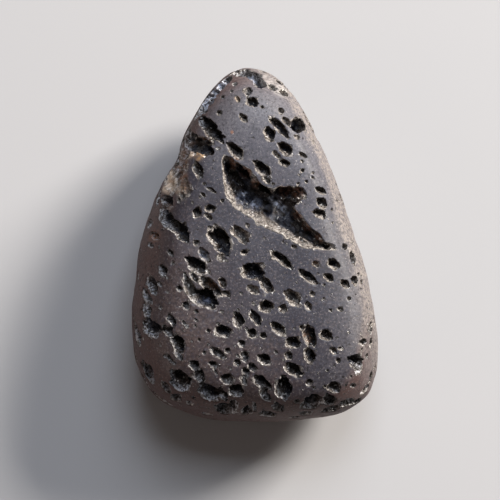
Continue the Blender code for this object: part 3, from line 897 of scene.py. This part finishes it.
# Place on the sheet, reach in squares, how much of the skin is covered too, and colour.
# The blue-white and white highlight rows are painted highlights, and the glass rows carry painted
# sheen.
STAINS = [
    (154, 236, 8, 0.3, RUST), (183, 154, 8, 0.9, BROWN), (182, 165, 8, 0.9, BROWN),
    (181, 176, 8, 0.9, BROWN), (184, 187, 8, 0.8, BROWN), (190, 138, 9, 0.5, BROWN),
    (203, 141, 8, 0.2, BROWN), (169, 184, 11, 0.95, TAN), (168, 176, 8, 0.95, TAN),
    (180, 190, 6, 0.7, SAND), (189, 154, 6, 0.7, SAND), (199, 156, 6, 0.5, ORANGE),
    (182, 196, 7, 0.6, MUD), (193, 153, 3, 0.6, RUST), (237, 99, 4, 0.4, SAND),
    (167, 204, 9, 0.2, BROWN), (232, 132, 2, 0.9, RUST), (316, 262, 5, 0.1, BROWN),
    (309, 336, 8, 0.1, BROWN), (213, 284, 8, 0, BROWN), (189, 287, 9, 0.1, MUD),
    (225, 190, 6, 0, MUD), (235, 205, 7, 0, MUD), (247, 214, 8, 0, MUD), (260, 220, 9, 0, MUD),
    (273, 228, 8, 0, MUD), (287, 236, 7, 0, MUD), (303, 245, 6, 0, MUD), (320, 248, 4, 0, MUD),
    (241, 236, 8, 0, MUD), (244, 196, 9, 0, GLASS_AND_PAINTED_SHEEN), (256, 204, 8, 0, GLASS_AND_PAINTED_SHEEN),
    (272, 199, 4, 0, PAINTED_BLUE_HIGHLIGHT), (278, 204, 5, 0, PAINTED_BLUE_HIGHLIGHT), (284, 208, 4, 0, PAINTED_BLUE_HIGHLIGHT),
    (244, 193, 3, 0, PAINTED_BLUE_HIGHLIGHT), (253, 203, 3, 0, PAINTED_BLUE_HIGHLIGHT), (234, 163, 7, 0, UMBER),
    (246, 172, 7, 0, UMBER), (256, 183, 6, 0, UMBER), (284, 189, 8, 0, UMBER),
    (298, 192, 7, 0, UMBER), (298, 214, 6, 0, UMBER), (308, 226, 6, 0, UMBER),
    (319, 238, 6, 0, UMBER), (206, 300, 6, 0, GLASS_AND_PAINTED_SHEEN), (203, 256, 7, 0, GLASS_AND_PAINTED_SHEEN),
    (222, 84, 10, 0.1, PAINTED_BLUE_HIGHLIGHT), (212, 93, 9, 0.1, PAINTED_BLUE_HIGHLIGHT), (204, 102, 9, 0, PAINTED_BLUE_HIGHLIGHT),
    (268, 80, 9, 0.2, PAINTED_WHITE_HIGHLIGHT), (280, 90, 9, 0.2, PAINTED_WHITE_HIGHLIGHT), (251, 80, 7, 0, PAINTED_BLUE_HIGHLIGHT),
]
broken = rise(below, 0.03, 0.09)
colour = mix(broken, skin, wall)
patchy = rise(grain(3.0, 3.0, 0.6, 44.0), 0.36, 0.60)
upper_half = rise(height, 5.0, 7.0)
crumbly = 1.0
for x, y, reach, cover, stain in STAINS:
    spot, _ = drop(x, y)
    gap = vector("SUBTRACT", millimetres, spot)
    along_sight = vector("DOT_PRODUCT", gap, SIGHT, output="Value")
    aside = vector("LENGTH", vector("CROSS_PRODUCT", gap, SIGHT), output="Value")
    share = 1.0 - rise(aside, 0.35 * reach * SQUARE, 1.15 * reach * SQUARE)
    far = HOLE_REACH if cover == 0 else 0.9 * reach * SQUARE
    share = share * (1.0 - rise(along_sight.math("ABSOLUTE"), far, 1.8 * far))
    share = share * upper_half * (patchy * (1.0 - 0.6 * cover) + 0.6 * cover)
    colour = mix(share * (cover + broken * (0.8 - cover)), colour, stain)
    if stain == TAN:
        crumbly = crumbly * (1.0 - share * 0.7)
crumbly = rise(1.0 - crumbs, 0.46, 0.64) * broken * 0.65 * crumbly
colour = mix(crumbly, colour, DARK_CRUMB)
basalt.node_tree.links.new(colour.socket, shader.inputs["Base Color"])
print("stains:", len(STAINS))

# %% Gloss and relief
satin = 0.32 + grain(2.0, 3.0, 0.6, 21.0) * 0.16 + pin_pores * 0.2
glassy = 0.13 + rise(grain(2.6, 2.0, 0.5, 63.0), 0.46, 0.66) * 0.45
dull = lit_side * rise(tilt, 0.02, 0.11) * 0.3 + shaded * 0.25
rough = (satin + dull) * (1.0 - broken) + glassy * broken
basalt.node_tree.links.new(rough.socket, shader.inputs["Roughness"])
relief = fine * 0.35 + grain(2.4, 3.0, 0.6, 8.0) * 0.25 - pin_pores * 0.8
relief = relief * (1.0 - broken) + grain(3.6, 4.0, 0.7, 3.0) * 6.0 * broken
bumped = rock.node("ShaderNodeBump", {}, {"Height": relief, "Distance": 0.03 * MM})
basalt.node_tree.links.new(bumped.socket, shader.inputs["Normal"])
print("basalt nodes:", len(basalt.node_tree.nodes))

# %% [markdown]
# ## Carve, fuse and soften
#
# The raw cut has knife edges that a tumbler never leaves. A voxel remesh fuses the pebble and
# its holes into one even skin, a touch of smoothing rounds every rim, and decimation spends the
# faces where the form turns. The sides and the underside get strewn bubbles only where the
# sheet doesn't reach, so each point of the pebble first learns how far it faces the eye. It
# also learns how porous the stone is there, which grows towards the foot and the left.


# %% Prepare the pebble for carving
# Strewn bubbles start where a point faces the eye less than this, and thicken over so much.
FADE_FROM = 0.32
FADE_OVER = 0.12


def facing(vert):
    """1 for a point that faces the eye squarely, 0 at the edge of sight, negative behind."""
    return vert.normal.dot((EYE - vert.co).normalized())


def porosity(vert):
    """The share of the pores kept at a point: a fifth at least, and all at the foot."""
    return clamp(0.45 - vert.co.y / 14 - vert.co.x / 30, low=0.2)


hidden = [clamp((FADE_FROM - facing(vert)) / FADE_OVER) for vert in worn.verts]
porous = [porosity(vert) for vert in worn.verts]
bmesh.ops.scale(worn, vec=(MM, MM, MM), verts=worn.verts)
stone = mesh_object(worn, "stone_blank", helpers)
store(stone.data, "hidden", hidden)
store(stone.data, "porous", porous)
scene.collection.children.link(helpers)
print("share out of sight:", round(sum(hidden) / len(hidden), 2))

# %% Run the modifiers
VOXEL = 0.055
FLOW_HEADING = 42
INPUTS = {
    "Vesicles": vesicle_points, "Bubbles": bubbles, "Sack": sack, "Spacing": 1.15 * MM,
    "Shortest": 0.35 * MM, "Longest": 2.4 * MM, "Flow": sheet_way(FLOW_HEADING),
    "Pore spacing": 0.85 * MM, "Pore size": 0.5 * MM, "Seed": 5, "Stone": basalt,
}
carve = stone.modifiers.new("carve", "NODES")
carve.node_group = carving
for item in carving.interface.items_tree:
    if item.in_out == "INPUT" and item.name in INPUTS:
        carve[item.identifier] = INPUTS[item.name]
fuse = stone.modifiers.new("fuse", "REMESH")
fuse.mode = "VOXEL"
fuse.voxel_size = VOXEL * MM
soften = stone.modifiers.new("soften", "SMOOTH")
soften.factor = 0.5
soften.iterations = 1


def evaluated_mesh(obj):
    """A plain mesh of what an object's modifiers make of it."""
    graph = bpy.context.evaluated_depsgraph_get()
    return bpy.data.meshes.new_from_object(obj.evaluated_get(graph))


fused = evaluated_mesh(stone)
stone.modifiers.clear()
print("fused faces:", len(fused.polygons))

# %% [markdown]
# Broken rock isn't smooth. The walls of the holes are pushed in and out by a noise that grows
# with the depth below the skin, and in the notch on the left edge the skin itself has crumbled
# away. The rims and the resting face stay where they are.

# %% Crumble the broken rock
# How far the walls are pushed, from what depth below the skin, and over what depth it grows.
CRAG = 0.22
WALL_FROM = 0.04
WALL_OVER = 0.25
# Shares and pitches of the noise.
CRAGS = [(0.6, 2.3), (0.4, 5.1)]
# How steep a chip's edge is, its even and its rough share, and the level that it stays above.
CHIP_EDGE = 1.6
CHIP_EVEN = 0.55
CHIP_ROUGH = 1.3
CHIP_LEVEL = 4.0
# Place on the sheet, reach in squares and depth in millimetres of each chip in the notch.
CHIPS = [(184, 154, 8, 0.25), (181, 167, 9, 0.35), (172, 181, 12, 0.5), (185, 190, 9, 0.3)]


def mesh_points(mesh):
    """The points of a mesh in millimetres, one row each."""
    coords = np.empty(len(mesh.vertices) * 3, dtype=np.float32)
    mesh.vertices.foreach_get("co", coords)
    return coords.reshape(-1, 3) / MM


def move_points(mesh, spots):
    """Put the points of a mesh at spots given in millimetres."""
    mesh.vertices.foreach_set("co", (spots * MM).astype(np.float32).ravel())


def skin_over(spot):
    """How deep a spot lies below the worn skin, and the skin's normal there."""
    nearest, normal, _, _ = skin_tree.find_nearest(spot)
    depth = (nearest - spot).dot(normal)
    # Underneath, the resting level is skin too.
    if normal.z < -0.7:
        depth = min(depth, spot.z)
    return depth, normal


def crumble(mesh):
    """Push the walls of the holes in and out, and the skin of the chips inwards."""
    spots = mesh_points(mesh)
    chipped = np.zeros(len(spots))
    for x, y, reach, deep in CHIPS:
        gap = np.linalg.norm(np.cross(spots - np.array(drop(x, y)[0]), np.array(SIGHT)), axis=1)
        share = np.clip(CHIP_EDGE - CHIP_EDGE * gap / (reach * SQUARE), 0.0, 1.0)
        chipped = np.maximum(chipped, deep * share * (spots[:, 2] > CHIP_LEVEL))
    for i, vert in enumerate(mesh.vertices):
        spot = Vector(spots[i])
        depth, outward = skin_over(spot)
        wall = clamp((depth - WALL_FROM) / WALL_OVER)
        if wall > 0 or chipped[i] > 0:
            crag = sum(part * noise.noise(spot * pitch) for part, pitch in CRAGS)
            spot += vert.normal * (CRAG * wall * crag)
            spot -= outward * (chipped[i] * (CHIP_EVEN + CHIP_ROUGH * crag))
            spots[i] = spot
    move_points(mesh, spots)


crumble(fused)
print("chips:", len(CHIPS))

# %% Thin the mesh
# Triangles to keep, out of two for each square face that the remesh made.
TRIANGLES = 190000
stone.data = fused
thin = stone.modifiers.new("thin", "DECIMATE")
thin.ratio = min(1.0, TRIANGLES / (2 * len(fused.polygons)))
carved_mesh = evaluated_mesh(stone)
stone.modifiers.clear()


def drop_crumbs(mesh):
    """Take out the crumbs that came loose, and any face without an area."""
    form = bmesh.new()
    form.from_mesh(mesh)
    seen, pieces = [False] * len(form.verts), []
    for start in form.verts:
        if seen[start.index]:
            continue
        seen[start.index] = True
        piece = [start]
        for vert in piece:
            for edge in vert.link_edges:
                other = edge.other_vert(vert)
                if not seen[other.index]:
                    seen[other.index] = True
                    piece.append(other)
        pieces.append(piece)
    stone_itself = max(pieces, key=len)
    crumbs = [vert for piece in pieces if piece is not stone_itself for vert in piece]
    bmesh.ops.delete(form, geom=crumbs, context="VERTS")
    bmesh.ops.dissolve_degenerate(form, dist=0.0002 * MM, edges=form.edges)
    bmesh.ops.triangulate(form, faces=form.faces)
    form.to_mesh(mesh)
    form.free()
    mesh.validate()
    return len(pieces) - 1


print("crumbs taken out:", drop_crumbs(carved_mesh), "carved faces:", len(carved_mesh.polygons))

# %% [markdown]
# ## The finished stone
#
# The carved mesh becomes the piece that stands for the solid. Each point looks up how far it
# lies below the worn skin, which is what the basalt reads, and any point that smoothing left a
# hair under the resting level is brought back to it. Points still on the skin take the whole
# pebble's own normals, so the skin stays flat right up to a crisp rim.

# %% Measure the depth below the skin
# A point is on the skin down to this depth, and from this height over the resting level.
SKIN_DEPTH = 0.02
SKIN_LEVEL = 0.05
spots = mesh_points(carved_mesh)
spots[:, 2] = np.maximum(spots[:, 2], 0.0)
move_points(carved_mesh, spots)
depths, leans, tilts = [], [], []
for spot in map(Vector, spots):
    depth, normal = skin_over(spot)
    on_skin = depth < SKIN_DEPTH and spot.z > SKIN_LEVEL
    depths.append(depth)
    leans.append(normal if on_skin else (0, 0, 0))
    tilts.append(1.0 - abs(normal.z))
store(carved_mesh, "below_skin", depths)
store(carved_mesh, "skin_tilt", tilts)
print("deepest point, mm:", round(max(depths), 2))

# %% Put the stone in the scene
carved_mesh.polygons.foreach_set("use_smooth", [True] * len(carved_mesh.polygons))
carved_mesh.normals_split_custom_set_from_vertices(leans)
carved_mesh.materials.clear()
carved_mesh.materials.append(basalt)
lava_stone = add_object("lava_stone", carved_mesh)
for leftover in list(helpers.objects) + list(bubbles.objects):
    bpy.data.objects.remove(leftover, do_unlink=True)
for empty in (helpers, bubbles):
    bpy.data.collections.remove(empty)
print("stone's triangles:", len(lava_stone.data.polygons))

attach(lava_stone, "root")
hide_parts("lava_rock")

# %% [markdown]
# ## Floor and light
#
# A pale floor and one large soft light from the upper right, with a cool, weaker sky above and
# behind it, and a faint warm fill from the lower left, as if from a tabletop. The big light is
# what draws the pale far wall in every hole and leaves the near wall black.

# %% Floor
FLOOR_SIZE = 1.2
floor_form = bmesh.new()
bmesh.ops.create_grid(floor_form, x_segments=1, y_segments=1, size=FLOOR_SIZE / 2)
floor = mesh_object(floor_form, "floor")
paper = bpy.data.materials.new("pale_paper")
paper.use_nodes = True
paper_shader = paper.node_tree.nodes["Principled BSDF"]
paper_shader.inputs["Base Color"].default_value = (0.42, 0.42, 0.43, 1)
paper_shader.inputs["Roughness"].default_value = 0.9
floor.data.materials.append(paper)
print("floor, m across:", FLOOR_SIZE)


# %% Lights
def soft_light(name, heading, height, distance, size, power, tint):
    """A square area light that looks at the stone, its heading in degrees from +X."""
    light = bpy.data.lights.new(name, "AREA")
    light.size, light.energy, light.color = size, power, tint
    obj = add_object(name, light)
    turn, lift = math.radians(heading), math.radians(height)
    flat = math.cos(lift)
    way = Vector((flat * math.cos(turn), flat * math.sin(turn), math.sin(lift)))
    obj.location = way * distance
    obj.rotation_euler = way.to_track_quat("Z", "Y").to_euler()


soft_light("key", 36, 27, 0.7, 0.22, 12.5, (1.0, 0.94, 0.87))
soft_light("sky", 78, 55, 0.8, 0.45, 3.9, (0.84, 0.90, 1.0))
soft_light("fill", 208, 22, 0.8, 0.5, 0.85, (1.0, 0.74, 0.64))
world = bpy.data.worlds.new("room")
world.use_nodes = True
backdrop = world.node_tree.nodes["Background"]
backdrop.inputs["Color"].default_value = (1.0, 0.95, 0.91, 1)
backdrop.inputs["Strength"].default_value = 0.08
scene.world = world
scene.view_settings.view_transform = "Standard"
